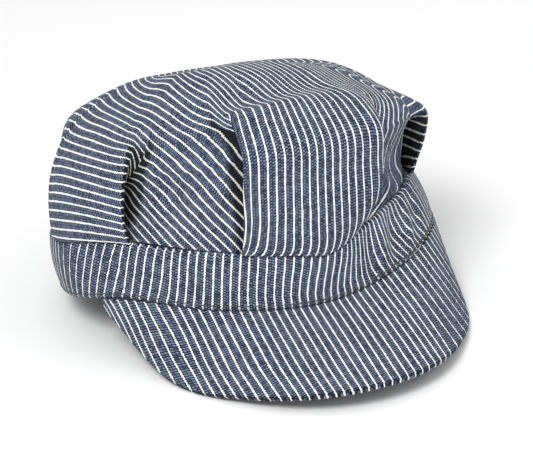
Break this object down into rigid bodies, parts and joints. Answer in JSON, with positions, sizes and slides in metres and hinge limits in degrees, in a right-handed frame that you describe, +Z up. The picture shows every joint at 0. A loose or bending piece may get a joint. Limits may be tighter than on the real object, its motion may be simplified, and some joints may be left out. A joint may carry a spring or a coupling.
{
  "type": "railroad engineer cap",
  "caption": "Soft striped denim work cap with a box-pleated crown, a band round the head and a curved stiff visor, lying on its visor and band.",
  "frame": {"origin": "on the table under the middle of the cap's outline", "axes": "+Z up, -Y the way the visor points, +X towards the wearer's left"},
  "size_m": [0.1788, 0.2768, 0.1191],
  "materials": {
    "crown_denim": "blue denim twill with narrow white stripes, matte",
    "band_denim": "blue denim twill with narrow white stripes, matte",
    "visor_denim": "blue denim twill with narrow white stripes over a stiff board, matte"
  },
  "bodies": {
    "root": {"crown": "crown_denim", "band": "band_denim", "visor": "visor_denim"}
  },
  "joints": []
}
